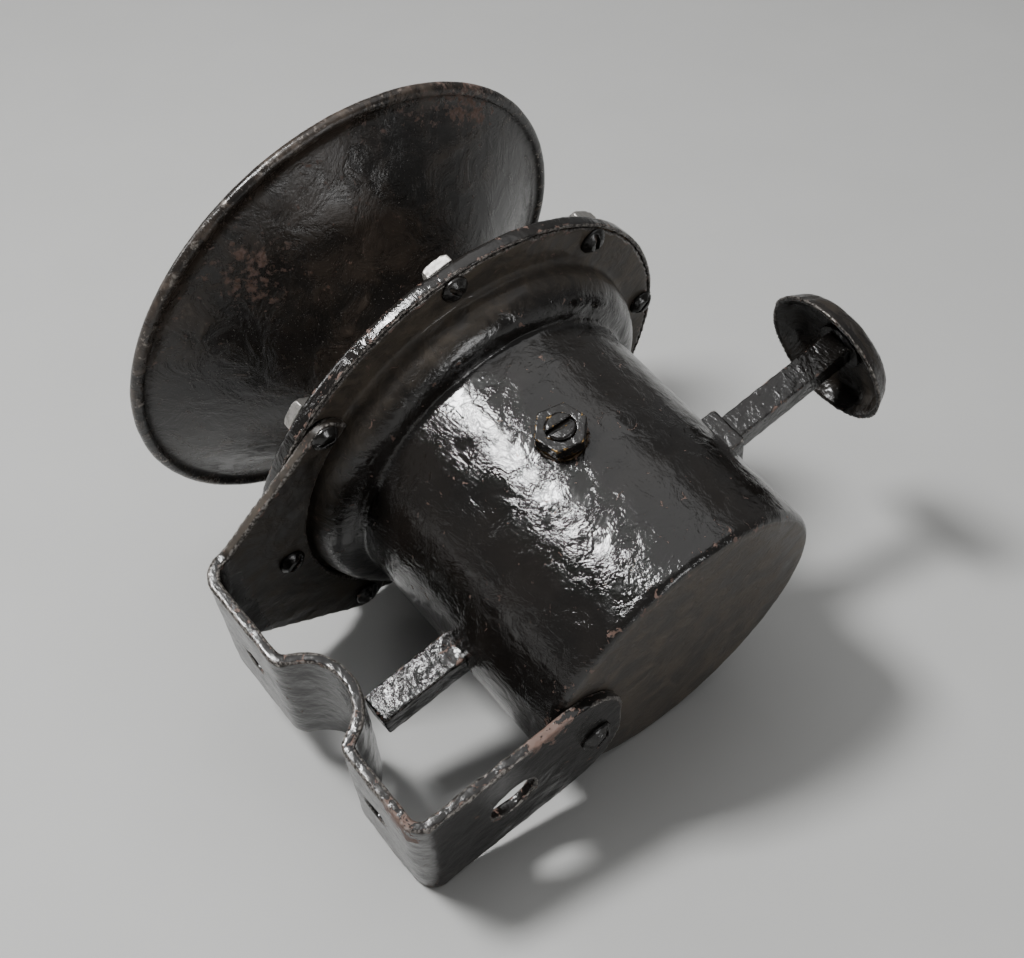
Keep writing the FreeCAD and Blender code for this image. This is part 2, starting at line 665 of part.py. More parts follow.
# ---- gear frame and bearings ----------------------------------------------------------------
def gear_frame():
    """U-shaped frame on the drum back that carries both gear shafts between its cheeks."""
    s = FRAME_SHEET
    low = GEAR_X - FRAME_HALF_W
    high = GEAR_X + FRAME_HALF_W
    frame = block(FRAME_BASE_XS, (INNER_BACK_Y, FRAME_BASE_Y), (-FRAME_BASE_HALF_Z, FRAME_BASE_HALF_Z))
    frame = frame.fuse(block((low, high), (INNER_BACK_Y, FRAME_BASE_Y), (-FRAME_HALF_Z, FRAME_HALF_Z)))
    for z in (-FRAME_HALF_Z, FRAME_HALF_Z - s):
        frame = frame.fuse(block((low, high), (INNER_BACK_Y, FRAME_FRONT_Y), (z, z + s)))
    for y, radius in ((DRIVE_SHAFT_Y, SHAFT_R), (ROTOR_SHAFT_Y, ROTOR_SHAFT_R)):
        centre = Vector(GEAR_X, y, 0)
        frame = frame.cut(rod(radius + RUNNING_GAP, centre - Z_AXIS * 30, centre + Z_AXIS * 30))
    place = rear_screw_place()
    frame = frame.cut(rod(REAR_SCREW_R, place, place + Y_AXIS * 10))
    for x in FRAME_STUD_XS:
        place = Vector(x, DRUM_BACK_Y, 0)
        frame = frame.cut(rod(FRAME_STUD_R, place, place + Y_AXIS * 10))
    return frame.removeSplitter()


def frame_studs():
    """Studs welded to the inside of the drum's back and peened over the gear frame."""
    high = FRAME_BASE_Y + FRAME_STUD_R
    head_r = FRAME_STUD_R * 1.9
    studs = []
    for x in FRAME_STUD_XS:
        stud = turned([(0, INNER_BACK_Y), (FRAME_STUD_R, INNER_BACK_Y), (FRAME_STUD_R, FRAME_BASE_Y),
                       (head_r, FRAME_BASE_Y), (head_r * 0.8, high, 0.5), (0, high)])
        stud.translate(X_AXIS * x)
        studs.append(stud)
    return studs


def guide_span():
    return GEAR_X - GUIDE_HALF_L, GEAR_X + GUIDE_HALF_L


def guide_bridge():
    """Plate between the frame cheeks that backs the rack guide."""
    inner = FRAME_HALF_Z - FRAME_SHEET
    return block(guide_span(), (BRIDGE_TOP_Y - FRAME_SHEET, BRIDGE_TOP_Y), (-inner, inner))


def rack_guide():
    """Bronze pad that holds the rack in mesh."""
    return block(guide_span(), (BRIDGE_TOP_Y, PLUNGER_Y - BAR_W / 2 - SLIDE_GAP), (-BAR_W / 2, BAR_W / 2))


def bearing_bush(side):
    """Flanged bush in the drum wall, threaded for the bearing screw."""
    step = BUSH_INNER_Z + BUSH_FLANGE_T
    bush = turned([(BEARING_SCREW_R, BUSH_INNER_Z), (BUSH_FLANGE_R, BUSH_INNER_Z, 0.5),
                   (BUSH_FLANGE_R, step), (BUSH_R, step),
                   (BUSH_R, BUSH_SEAT_Z), (BEARING_SCREW_R, BUSH_SEAT_Z)])
    return across_drum(bush, side)


def bearing_screw(side):
    """Slotted brass screw whose bored inner end is the drive shaft's bearing."""
    bore_r = SPIGOT_R + RUNNING_GAP
    low = BEARING_SCREW_INNER_Z
    high = BEARING_SCREW_OUTER_Z
    end = low + SPIGOT_L + 1
    slot = BEARING_SLOT_W / 2
    screw = turned([(bore_r, low), (BEARING_SCREW_R, low, 0.4), (BEARING_SCREW_R, high, 0.7), (0, high),
                    (0, end), (bore_r, end)])
    screw = screw.cut(block((-slot, slot), (high - DRIVER_SLOT_DEPTH, high + 1), (-BUSH_R, BUSH_R)))
    return across_drum(screw, side, BEARING_SCREW_SPIN)


def bearing_locknut(side):
    nut = bored_nut(6, LOCKNUT_AF, LOCKNUT_T, BEARING_SCREW_R)
    nut.Placement = Placement(Y_AXIS * BUSH_SEAT_Z, Rotation(X_AXIS, -90))
    return across_drum(nut, side, LOCKNUT_SPIN)


def across_drum(shape, side, spin=0):
    """Move a shape built along +Y onto the drive shaft's line, on the +Z or -Z side."""
    turn = Rotation(Z_AXIS * side, spin) * Rotation(X_AXIS, 90 * side)
    shape.Placement = Placement(Vector(GEAR_X, DRIVE_SHAFT_Y, 0), turn).multiply(shape.Placement)
    return shape


# ---- gear train -----------------------------------------------------------------------------
def gear_shaft():
    """Drive shaft with a spigot at each end, running in the bearing screws."""
    centre = Vector(GEAR_X, DRIVE_SHAFT_Y, 0)
    shoulder = Z_AXIS * (BEARING_SCREW_INNER_Z - 0.5)
    end = Z_AXIS * (BEARING_SCREW_INNER_Z + SPIGOT_L)
    shaft = rod(SHAFT_R, centre - shoulder, centre + shoulder)
    spigots = rod(SPIGOT_R, centre - end, centre + end)
    return shaft.fuse(spigots).removeSplitter()


def rack_pinion():
    tooth_at = -90 + 180 / RACK_PINION_TEETH
    width = 2 * PINION_HALF_W
    return spur_gear(RACK_PINION_TEETH, RACK_MODULE, tooth_at, SHAFT_R, DRIVE_SHAFT_Y,
                     -PINION_HALF_W, width)


def drive_gear():
    gear = spur_gear(DRIVE_TEETH, TRAIN_MODULE, 90, SHAFT_R, DRIVE_SHAFT_Y, GEAR_LOW_Z, GEAR_W)
    for i in range(4):
        a = math.radians(45 + 90 * i)
        out = Vector(math.cos(a), math.sin(a), 0) * LIGHTENING_CIRCLE_R
        centre = Vector(GEAR_X, DRIVE_SHAFT_Y, 0) + out
        gear = gear.cut(rod(LIGHTENING_HOLE_R, centre, centre + Z_AXIS * 30))
    return gear


def ratchet_wheel():
    """Fine-toothed wheel of the one-way drive, beside the drive gear."""
    points = []
    for i in range(RATCHET_TEETH):
        a = 2 * math.pi * i / RATCHET_TEETH
        for radius in (RATCHET_R, RATCHET_R - RATCHET_TOOTH_H):
            points.append(Vector(radius * math.cos(a), radius * math.sin(a), 0))
    wheel = Part.Face(Part.makePolygon(points + points[:1])).extrude(Z_AXIS * RATCHET_W)
    wheel = wheel.cut(rod(SHAFT_R, Z_AXIS * -1, Z_AXIS * 5))
    wheel.translate(Vector(GEAR_X, DRIVE_SHAFT_Y, GEAR_LOW_Z + GEAR_W))
    return wheel


def ratchet_pawl():
    """Pawl on the drive gear's face, with its nose just clear of the ratchet teeth."""
    nose = RATCHET_R + 0.5
    heel = nose + PAWL_L
    outline = [(nose, -1.0, 0.4), (heel, -2.0, 1.5), (heel, 2.0, 1.5), (nose, 0.6, 0.4)]
    pawl = Part.Face(corner_wire(outline)).extrude(Z_AXIS * RATCHET_W)
    pawl.translate(Vector(GEAR_X, DRIVE_SHAFT_Y, GEAR_LOW_Z + GEAR_W))
    return pawl


def rotor_shaft():
    centre = Vector(GEAR_X, ROTOR_SHAFT_Y, 0)
    end = Z_AXIS * (FRAME_HALF_Z + 1.5)
    return rod(ROTOR_SHAFT_R, centre - end, centre + end)


def rotor_pinion():
    tooth_at = -90 + 180 / ROTOR_TEETH
    return spur_gear(ROTOR_TEETH, TRAIN_MODULE, tooth_at, ROTOR_SHAFT_R, ROTOR_SHAFT_Y, GEAR_LOW_Z, GEAR_W)


def sound_wheel():
    """Cam-toothed wheel whose teeth strike the diaphragm's stud."""
    points = []
    step = 2 * math.pi / WHEEL_TEETH
    for i in range(WHEEL_TEETH):
        a = i * step
        for share, radius in ((0, WHEEL_R), (0.25, WHEEL_R), (0.55, WHEEL_R - WHEEL_TOOTH_H),
                              (0.9, WHEEL_R - WHEEL_TOOTH_H)):
            b = a + share * step
            points.append(Vector(radius * math.cos(b), radius * math.sin(b), 0))
    wheel = Part.Face(Part.makePolygon(points + points[:1])).extrude(Z_AXIS * 2 * WHEEL_HALF_W)
    wheel = wheel.cut(rod(ROTOR_SHAFT_R, Z_AXIS * -1, Z_AXIS * 20))
    wheel.translate(Vector(GEAR_X, ROTOR_SHAFT_Y, -WHEEL_HALF_W))
    return wheel


# ---- plunger --------------------------------------------------------------------------------
def square_bar(width, low_x, high_x):
    half = width / 2
    return block((low_x, high_x), (PLUNGER_Y - half, PLUNGER_Y + half), (-half, half))


def plunger_bar():
    """Square bar with rack teeth cut in its bell side and a tenon for the button."""
    bar = square_bar(BAR_W, BAR_INNER_X, BAR_SHOULDER_X)
    pitch = math.pi * RACK_MODULE
    lean_in = math.tan(math.radians(PRESSURE_ANGLE))
    top = ADDENDUM * RACK_MODULE
    root = DEDENDUM * RACK_MODULE
    half_gap = pitch / 4 + BACKLASH / 4
    for i in range(-2, 12):
        x = GEAR_X + (i + 0.5) * pitch
        wide = half_gap + top * lean_in
        narrow = half_gap - root * lean_in
        gap = [(x - narrow, RACK_PITCH_Y - root, 0.2), (x + narrow, RACK_PITCH_Y - root, 0.2),
               (x + wide, BAR_TOP_Y), (x + wide, BAR_TOP_Y + 1),
               (x - wide, BAR_TOP_Y + 1), (x - wide, BAR_TOP_Y)]
        tool = Part.Face(corner_wire(gap)).extrude(Z_AXIS * 2 * BAR_W)
        tool.translate(Z_AXIS * -BAR_W)
        bar = bar.cut(tool)
    line = Vector(0, PLUNGER_Y, 0)
    seat_end = line + X_AXIS * (BAR_INNER_X + TAIL_ROD_SEAT_L)
    bar = bar.cut(rod(TAIL_ROD_R, line + X_AXIS * (BAR_INNER_X - 1), seat_end))
    bar = bar.cut(rod(STOP_PIN_R, stop_pin_place() - Z_AXIS * 10, stop_pin_place() + Z_AXIS * 10))
    tenon = rod(TENON_R, line + X_AXIS * (BAR_SHOULDER_X - 1), line + X_AXIS * (BUTTON_TOP_X + 0.3))
    return bar.fuse(tenon).removeSplitter()


def stop_pin_place():
    return Vector(COLLAR_INNER_X - STOP_PIN_R - SLIDE_GAP, PLUNGER_Y - 1.2, 0)


def stop_pin():
    """Cross pin that meets the collar when the plunger is fully out."""
    return rod(STOP_PIN_R, stop_pin_place() - Z_AXIS * 6, stop_pin_place() + Z_AXIS * 6)


def tail_rod():
    """Rod from the bar's inner end that keeps the return spring straight."""
    line = Vector(0, PLUNGER_Y, 0)
    return rod(TAIL_ROD_R, line + X_AXIS * TAIL_ROD_END_X, line + X_AXIS * (BAR_INNER_X + TAIL_ROD_SEAT_L))


def button_section(high_x, edge_x, radius, sheet):
    """Half section of the button cap as (radius, distance along the plunger)."""
    crown = (radius * BUTTON_CROWN, edge_x, 6.0 - sheet)
    return [(0, high_x), crown, (radius, BUTTON_RIM_X), (0, BUTTON_RIM_X)]


def push_button():
    """Pressed mushroom cap, open underneath."""
    cap = turned(button_section(BUTTON_TOP_X, BUTTON_EDGE_X, BUTTON_R, 0))
    hollow = turned(button_section(BUTTON_TOP_X - BUTTON_SHEET, BUTTON_EDGE_X - BUTTON_SHEET,
                                   BUTTON_R - BUTTON_SHEET, BUTTON_SHEET * 0.5))
    cap = cap.cut(hollow)
    cap = cap.cut(rod(TENON_R, Y_AXIS * (BUTTON_TOP_X - 10), Y_AXIS * (BUTTON_TOP_X + 10)))
    cap.Placement = plunger_line()
    return cap


def plunger_line():
    """Placement that carries a shape built along +Y onto the plunger's line along +X."""
    return Placement(Vector(0, PLUNGER_Y, 0), Rotation(Z_AXIS, -90))


def button_washer():
    """Washer between the bar's shoulder and the cap."""
    under = BUTTON_TOP_X - BUTTON_SHEET
    fall = (BUTTON_TOP_X - BUTTON_EDGE_X) / (BUTTON_R - BUTTON_SHEET) / BUTTON_CROWN
    edge_r = BUTTON_WASHER_R
    washer = turned([(TENON_R, BAR_SHOULDER_X), (edge_r, BAR_SHOULDER_X, 0.3),
                     (edge_r, under - edge_r * fall), (TENON_R, under - TENON_R * fall)])
    washer.Placement = plunger_line()
    return washer


def button_rivet():
    """Peened head that closes over the cap."""
    low = BUTTON_TOP_X + 0.3
    fall = (BUTTON_TOP_X - BUTTON_EDGE_X) / BUTTON_R / BUTTON_CROWN
    edge_r = TENON_R + 2.0
    head = turned([(0, low), (TENON_R, low), (TENON_R, BUTTON_TOP_X - TENON_R * fall),
                   (edge_r, BUTTON_TOP_X - edge_r * fall), (TENON_R + 0.5, low + 0.8, 0.6), (0, low + 1.0)])
    head.Placement = plunger_line()
    return head


def plunger_collar():
    """Square guide bush where the plunger leaves the drum."""
    collar = square_bar(COLLAR_W, COLLAR_INNER_X, COLLAR_FACE_X)
    edges = [e for e in collar.Edges if e.BoundBox.XMin > COLLAR_FACE_X - 0.1]
    collar = collar.makeFillet(COLLAR_ROUND, edges)
    collar = collar.fuse(square_bar(COLLAR_FLANGE_W, COLLAR_INNER_X, COLLAR_INNER_X + SEAT_FLANGE_T))
    return collar.cut(square_bar(BAR_W + 2 * SLIDE_GAP, 0, 100)).removeSplitter()


def guide_tube():
    """Closed square tube for the spring and tail rod, opposite the button."""
    tube = square_bar(TUBE_W, TUBE_END_X, TUBE_INNER_X)
    edges = [e for e in tube.Edges if e.BoundBox.XMax < TUBE_END_X + 0.1]
    tube = tube.makeFillet(TUBE_ROUND, edges)
    tube = tube.fuse(square_bar(TUBE_FLANGE_W, TUBE_INNER_X - SEAT_FLANGE_T, TUBE_INNER_X))
    line = Vector(0, PLUNGER_Y, 0)
    return tube.cut(rod(TUBE_BORE_R, line + X_AXIS * TUBE_BORE_END_X, line)).removeSplitter()


def return_spring():
    """Round-wire compression spring from the bar's inner end to the closed end of the tube."""
    length = BAR_INNER_X - TUBE_BORE_END_X - 2 * SPRING_WIRE_R - 0.4
    helix = Part.makeHelix(length / SPRING_TURNS, length, SPRING_R)
    section = Part.Wire(Part.Circle(Vector(SPRING_R, 0, 0), Y_AXIS, SPRING_WIRE_R).toShape())
    spring = Part.Wire(helix.Edges).makePipeShell([section], True, True)
    start = Vector(TUBE_BORE_END_X + SPRING_WIRE_R + 0.2, PLUNGER_Y, 0)
    spring.Placement = Placement(start, Rotation(Z_AXIS, X_AXIS))
    return spring


# ---- assembly -------------------------------------------------------------------------------
def pieces():
    """Every node's name with its solid, or its list of identical solids."""
    rear_gasket, sheet, front_gasket, cover = stack_levels()
    nodes = {
        "bell_horn": bell_horn(),
        "bell_rivets": bell_rivets(),
        "front_cover": front_cover(),
        "front_gasket": ring(GASKET_INNER_R, front_gasket, cover),
        "diaphragm": ring(ANVIL_STUD_R, sheet, front_gasket),
        "rear_gasket": ring(GASKET_INNER_R, rear_gasket, sheet),
        "diaphragm_anvil": diaphragm_anvil(),
        "anvil_washer": anvil_washer(),
        "anvil_nut": anvil_nut(),
        "housing_drum": housing_drum(),
        "flange_screws": flange_screws(),
        "flange_nuts": flange_nuts(),
        "mounting_bracket": mounting_bracket(),
        "bracket_rear_screw": bracket_rear_screw(),
        "bracket_rear_nut": bracket_rear_nut(),
        "gear_frame": gear_frame(),
        "frame_studs": frame_studs(),
        "guide_bridge": guide_bridge(),
        "rack_guide": rack_guide(),
        "plunger_collar": plunger_collar(),
        "guide_tube": guide_tube(),
        "return_spring": return_spring(),
        "plunger_bar": plunger_bar(),
        "stop_pin": stop_pin(),
        "tail_rod": tail_rod(),
        "push_button": push_button(),
        "button_washer": button_washer(),
        "button_rivet": button_rivet(),
        "gear_shaft": gear_shaft(),
        "rack_pinion": rack_pinion(),
        "drive_gear": drive_gear(),
        "ratchet_wheel": ratchet_wheel(),
        "ratchet_pawl": ratchet_pawl(),
        "rotor_shaft": rotor_shaft(),
        "rotor_pinion": rotor_pinion(),
        "sound_wheel": sound_wheel(),
    }
    for name, side in (("near", 1), ("far", -1)):
        nodes[name + "_bearing_bush"] = bearing_bush(side)
        nodes[name + "_bearing_screw"] = bearing_screw(side)
        nodes[name + "_locknut"] = bearing_locknut(side)
    return nodes


def rest_placement(solids):
    """Lay the horn down, with the origin at the bottom centre of its box."""
    turn = Rotation(X_AXIS, REST_TILT) * Rotation(Y_AXIS, -REST_ROLL)
    whole = Part.makeCompound(solids)
    whole.Placement = Placement(Vector(0, 0, 0), turn)
    box = whole.optimalBoundingBox(False, False)
    shift = Vector(-(box.XMin + box.XMax) / 2, -(box.YMin + box.YMax) / 2, -box.ZMin)
    return Placement(shift, turn)


def main():
    os.makedirs("parts", exist_ok=True)
    nodes = pieces()
    flat = []
    for shape in nodes.values():
        flat += shape if isinstance(shape, list) else [shape]
    rest = rest_placement([s.copy() for s in flat])
    for name, shape in nodes.items():
        solid = Part.makeCompound(shape) if isinstance(shape, list) else shape
        solid.Placement = rest.multiply(solid.Placement)
        solid.exportStep("parts/" + name + ".step")


main()
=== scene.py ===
"""Looks for the hand-plunger warning horn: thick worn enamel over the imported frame.

Lengths are metres. Horn axes, as in the frame's joints: X along the plunger towards its
button, Y along the bell axis towards its mouth, Z along the gear shafts.
"""

import json
import math

import bmesh
import bpy
import numpy as np
from mathutils import Matrix, Vector, noise


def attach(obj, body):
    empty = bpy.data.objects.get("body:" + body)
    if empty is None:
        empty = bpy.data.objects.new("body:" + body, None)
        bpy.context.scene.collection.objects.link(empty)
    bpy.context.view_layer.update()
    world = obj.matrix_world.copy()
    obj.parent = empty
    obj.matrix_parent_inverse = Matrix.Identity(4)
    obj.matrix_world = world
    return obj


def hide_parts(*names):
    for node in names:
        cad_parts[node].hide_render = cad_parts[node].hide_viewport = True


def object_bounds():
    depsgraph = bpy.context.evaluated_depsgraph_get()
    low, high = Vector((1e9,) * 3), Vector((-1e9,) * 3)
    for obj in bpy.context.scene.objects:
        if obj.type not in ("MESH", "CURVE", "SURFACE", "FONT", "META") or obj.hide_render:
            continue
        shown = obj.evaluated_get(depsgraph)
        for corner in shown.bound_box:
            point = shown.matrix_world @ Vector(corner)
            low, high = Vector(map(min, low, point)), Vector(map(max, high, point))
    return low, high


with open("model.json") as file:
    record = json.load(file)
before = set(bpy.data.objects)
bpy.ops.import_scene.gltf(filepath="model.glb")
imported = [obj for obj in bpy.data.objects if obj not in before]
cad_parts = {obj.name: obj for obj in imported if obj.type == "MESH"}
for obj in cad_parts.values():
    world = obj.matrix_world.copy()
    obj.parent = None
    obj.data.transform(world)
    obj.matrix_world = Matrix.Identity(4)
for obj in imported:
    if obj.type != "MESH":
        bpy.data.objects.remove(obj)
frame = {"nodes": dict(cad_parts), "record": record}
cad_low, cad_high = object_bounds()
MM = 0.001
TRIANGLE_LIMIT = 190000  # for one painted piece
SMOOTH_IN = 0.6  # one smoothing pass goes in and then back out, so that nothing shrinks
SMOOTH_OUT = 0.5

# ---- camera and light -----------------------------------------------------------------------
CAMERA_PLACE = Vector((-0.22436, -0.27888, 0.36272))
CAMERA_TURN = (49.046, 1.164, -40.282)
LENS = 56.84
SENSOR = 36.0
WORLD_GREY = 0.42
WORLD_STRENGTH = 0.46
FLOOR_HALF = 30.0
FLOOR_DARK = (0.40, 0.40, 0.392)
FLOOR_PALE = (0.44, 0.44, 0.432)

# ---- horn axes, from the frame's joints ------------------------------------------------------
GEAR_X = 3.0 * MM
DRIVE_SHAFT_Y = -43.55 * MM
joints = {joint["name"]: joint for joint in frame["record"]["behaviour"]["joints"]}
x_axis = -Vector(joints["plunger_slide"]["axis"]).normalized()
z_axis = Vector(joints["gear_spin"]["axis"]).normalized()
y_axis = z_axis.cross(x_axis)
origin = Vector(joints["gear_spin"]["pos_m"]) - x_axis * GEAR_X - y_axis * DRIVE_SHAFT_Y
HORN = Matrix((x_axis, y_axis, z_axis)).transposed().to_4x4()
HORN.translation = origin
TO_HORN = np.array(HORN.inverted())

# ---- the bell, as its CAD node is ------------------------------------------------------------
BELL_R = 76.2 * MM
BELL_MOUTH_Y = 59.6 * MM
BELL_BACK_Y = 8.17 * MM
BELL_SHEET = 1.0 * MM
BEAD_R = 2.0 * MM
THROAT_R = 16.0 * MM
SEAT_R = 30.0 * MM
FLARE_POWER = 1.55
FLARE_ROWS = 70
FLARE_OUTER_SPAN = (0.03, 0.985)  # shares of the flare at which the outer skin starts and ends
BEAD_MOUTH_ANGLE = 165
BEAD_BACK_ANGLE = 205
BEAD_GAP_ANGLE = 12
BEAD_POINTS = 15
BELL_SEGMENTS = 420

# ---- places that the dust and wear maps follow, in horn axes and millimetres -----------------
FLANGE_DUST_Y = -13.5
FLANGE_DUST_SPAN = 8.0
DRUM_BACK_Y = -91.8
DRUM_BACK_SPAN = 0.8
COVER_RIM_R = 69.5
COVER_RIM_SPAN = 3
PLUNGER_Y = -53.9
BUTTON_UNDER_X = 98.2
BUTTON_UNDER_SLOPE = 0.1
BUTTON_UNDER_R = 20.6
BRACKET_FOOT = (-84, -8.0)
BRACKET_FOOT_SPAN = (6, 5.0)

# ---- where the paint has flaked off: centre in horn axes and reach, in millimetres -------------
BRACKET_BARE = (((-46, -94, 25), 7), ((-89, -88, 24), 6))
TUBE_BARE = (((-49, PLUNGER_Y, 7), 4),)

# ---- rust on the bell: turns about its axis in degrees, radii in millimetres ------------------
BELL_BAND_TURN = 47
BELL_BAND_HALF = 40
BELL_BAND_R = 62
BELL_BAND_SPAN = 6
BELL_PATCH_TURN = 119
BELL_PATCH_R = 59
BELL_PATCH_REACH = 13


# ---- mesh helpers ---------------------------------------------------------------------------
def points_of(mesh):
    co = np.empty(len(mesh.vertices) * 3)
    mesh.vertices.foreach_get("co", co)
    return co.reshape(-1, 3)


def normals_of(mesh):
    out = np.empty(len(mesh.vertices) * 3)
    mesh.vertices.foreach_get("normal", out)
    return out.reshape(-1, 3)


def set_points(mesh, co):
    mesh.vertices.foreach_set("co", co.ravel())
    mesh.update()


def horn_coords(co):
    """Points in horn axes."""
    return co @ TO_HORN[:3, :3].T + TO_HORN[:3, 3]


def neighbour_mean(mesh):
    """A function that averages any per-point values over each point's neighbours."""
    edges = np.empty(len(mesh.edges) * 2, np.int64)
    mesh.edges.foreach_get("vertices", edges)
    a, b = edges.reshape(-1, 2).T
    size = len(mesh.vertices)
    count = np.maximum(np.bincount(a, minlength=size) + np.bincount(b, minlength=size), 1)

    def average(values):
        columns = values.reshape(size, -1).T
        sums = [np.bincount(a, c[b], size) + np.bincount(b, c[a], size) for c in columns]
        return (np.array(sums) / count).T.reshape(values.shape)

    return average


def fractal(co, size, octaves, seed):
    """Fractal noise at each point; size is its largest wavelength."""
    shifted = co / size + seed
    return np.array([noise.fractal(p, 1.0, 2.0, octaves) for p in shifted.tolist()])


def new_object(name, mesh):
    obj = bpy.data.objects.new(name, mesh)
    bpy.context.scene.collection.objects.link(obj)
    return obj


def paint(obj, name, values):
    """Per-point attribute for a material to read."""
    layer = obj.data.attributes.new(name, "FLOAT", "POINT")
    layer.data.foreach_set("value", np.clip(values, 0, 1).astype(np.float32))


def finish_piece(obj, material, body, nodes):
    """Material, body and replaced nodes of a finished piece."""
    obj.data.materials.clear()
    obj.data.materials.append(material)
    obj.data.polygons.foreach_set("use_smooth", [True] * len(obj.data.polygons))
    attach(obj, body)
    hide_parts(*nodes)


def wear_map(mesh, reach):
    """How sharply convex (positive) or hollow (negative) the skin is at each point."""
    average = neighbour_mean(mesh)
    co = points_of(mesh)
    bend = ((co - average(co)) * normals_of(mesh)).sum(1)
    for _ in range(reach):
        bend = average(bend)
    return bend / max(np.percentile(np.abs(bend), 99), 1e-9)


def apply_modifiers(obj):
    """The object's mesh becomes what its modifiers make of it."""
    graph = bpy.context.evaluated_depsgraph_get()
    mesh = bpy.data.meshes.new_from_object(obj.evaluated_get(graph))
    obj.modifiers.clear()
    obj.data = mesh


def coated(node, voxel, lump, lump_size, soften, material, body="housing",
           dust=None, bare=()):
    """A CAD node under thick brushed paint: edges rounded over, and a lumpy skin.

    dust is a function of points and bend; bare lists the patches where paint has flaked off.
    """
    obj = new_object("painted_" + node, frame["nodes"][node].data.copy())
    remesh = obj.modifiers.new("skin", "REMESH")
    remesh.mode = "VOXEL"
    remesh.voxel_size = voxel
    apply_modifiers(obj)
    mesh = obj.data
    average = neighbour_mean(mesh)
    co = points_of(mesh)
    for _ in range(soften):
        co = co + SMOOTH_IN * (average(co) - co)
        co = co - SMOOTH_OUT * (average(co) - co)
    set_points(mesh, co)
    bend = wear_map(mesh, 2)
    lumps = fractal(co, lump_size, 3, seed=len(node))
    set_points(mesh, co + normals_of(mesh) * (lump * lumps)[:, None])
    paint(obj, "edge", bend * 0.5 + 0.5)
    places = horn_coords(co) / MM
    if dust:
        paint(obj, "dust", dust(places, bend))
    if bare:
        paint(obj, "bare", bare_patches(places, bare))
    triangles = 2 * len(mesh.polygons)
    if triangles > TRIANGLE_LIMIT:
        obj.modifiers.new("thin", "DECIMATE").ratio = TRIANGLE_LIMIT / triangles
        apply_modifiers(obj)
    finish_piece(obj, material, body, [node])


# ---- material helpers -----------------------------------------------------------------------
MIX_A = 6  # the mix node's colour sockets
MIX_B = 7
MIX_RESULT = 2


class Shader:
    """A material under construction, with short calls for the nodes that it uses."""

    def __init__(self, name):
        self.material = bpy.data.materials.new(name)
        self.material.use_nodes = True
        self.nodes = self.material.node_tree.nodes
        self.links = self.material.node_tree.links
        self.surface = self.nodes["Principled BSDF"]
        self.place = self.add("ShaderNodeTexCoord").outputs["Object"]

    def add(self, kind, **values):
        node = self.nodes.new(kind)
        for key, value in values.items():
            setattr(node, key, value)
        return node

    def put(self, socket, value):
        if isinstance(value, bpy.types.NodeSocket):
            self.links.new(value, socket)
        else:
            socket.default_value = value

    def noise(self, size, detail, rough, warp=0.0, stretch=None):
        """Noise with its largest features of about that size; stretch is (turn, scale)."""
        node = self.add("ShaderNodeTexNoise")
        place = self.place
        if stretch:
            mapping = self.add("ShaderNodeMapping")
            mapping.inputs["Rotation"].default_value = stretch[0]
            mapping.inputs["Scale"].default_value = stretch[1]
            self.put(mapping.inputs["Vector"], place)
            place = mapping.outputs["Vector"]
        self.put(node.inputs["Vector"], place)
        node.inputs["Scale"].default_value = 1 / size
        node.inputs["Detail"].default_value = detail
        node.inputs["Roughness"].default_value = rough
        node.inputs["Distortion"].default_value = warp
        return node.outputs["Fac"]

    def attribute(self, name):
        return self.add("ShaderNodeAttribute", attribute_name=name).outputs["Fac"]

    def ramp(self, value, low, high):
        """0 below low, 1 above high, smooth between."""
        node = self.add("ShaderNodeMapRange", interpolation_type="SMOOTHSTEP")
        self.put(node.inputs["Value"], value)
        node.inputs["From Min"].default_value = low
        node.inputs["From Max"].default_value = high
        return node.outputs["Result"]

    def math(self, operation, a, b):
        node = self.add("ShaderNodeMath", operation=operation)
        self.put(node.inputs[0], a)
        self.put(node.inputs[1], b)
        return node.outputs[0]

    def mix(self, share, a, b):
        """Colours or numbers mixed; b where share is 1."""
        node = self.add("ShaderNodeMix", data_type="RGBA")
        self.put(node.inputs["Factor"], share)
        for index, value in ((MIX_A, a), (MIX_B, b)):
            if isinstance(value, (int, float)):
                value = (value, value, value)
            if isinstance(value, tuple):
                value = (*value, 1.0)
            self.put(node.inputs[index], value)
        return node.outputs[MIX_RESULT]

    def bump(self, height, distance, strength, before=None):
        node = self.add("ShaderNodeBump")
        node.inputs["Strength"].default_value = strength
        node.inputs["Distance"].default_value = distance
        self.put(node.inputs["Height"], height)
        if before:
            self.put(node.inputs["Normal"], before)
        return node.outputs["Normal"]

    def set(self, **values):
        """Values or links for the surface's own sockets; gives the finished material."""
        for key, value in values.items():
            self.put(self.surface.inputs[key.replace("_", " ")], value)
        return self.material


BLACK = (0.006, 0.0053, 0.0048)
SOOT = (0.017, 0.0135, 0.011)
BROWN_DUST = (0.060, 0.045, 0.030)
DARK_DUST = (0.026, 0.019, 0.013)
PRIMER = (0.15, 0.098, 0.083)
RUST = (0.085, 0.045, 0.028)
# The two colours below speckle the rubbed enamel edges, where they are worn metal and also painted
# glints; the pale one also colours the bell's scratches.
DARK_WEAR_GLINT = (0.03, 0.026, 0.023)
PALE_SCRATCH_AND_GLINT = (0.20, 0.185, 0.17)
BRASS = (0.55, 0.36, 0.14)
GRIME = (0.03, 0.025, 0.02)
SATIN_BLACK = (0.009, 0.0078, 0.007)
SATIN_BROWN = (0.030, 0.022, 0.0165)
THIN_PAINT = (0.085, 0.066, 0.052)
BRIGHT_RIM = (0.22, 0.20, 0.18)
BRUSH_STROKES = ((0.2, 0.9, 0.6), (2.6, 0.35, 2.6))


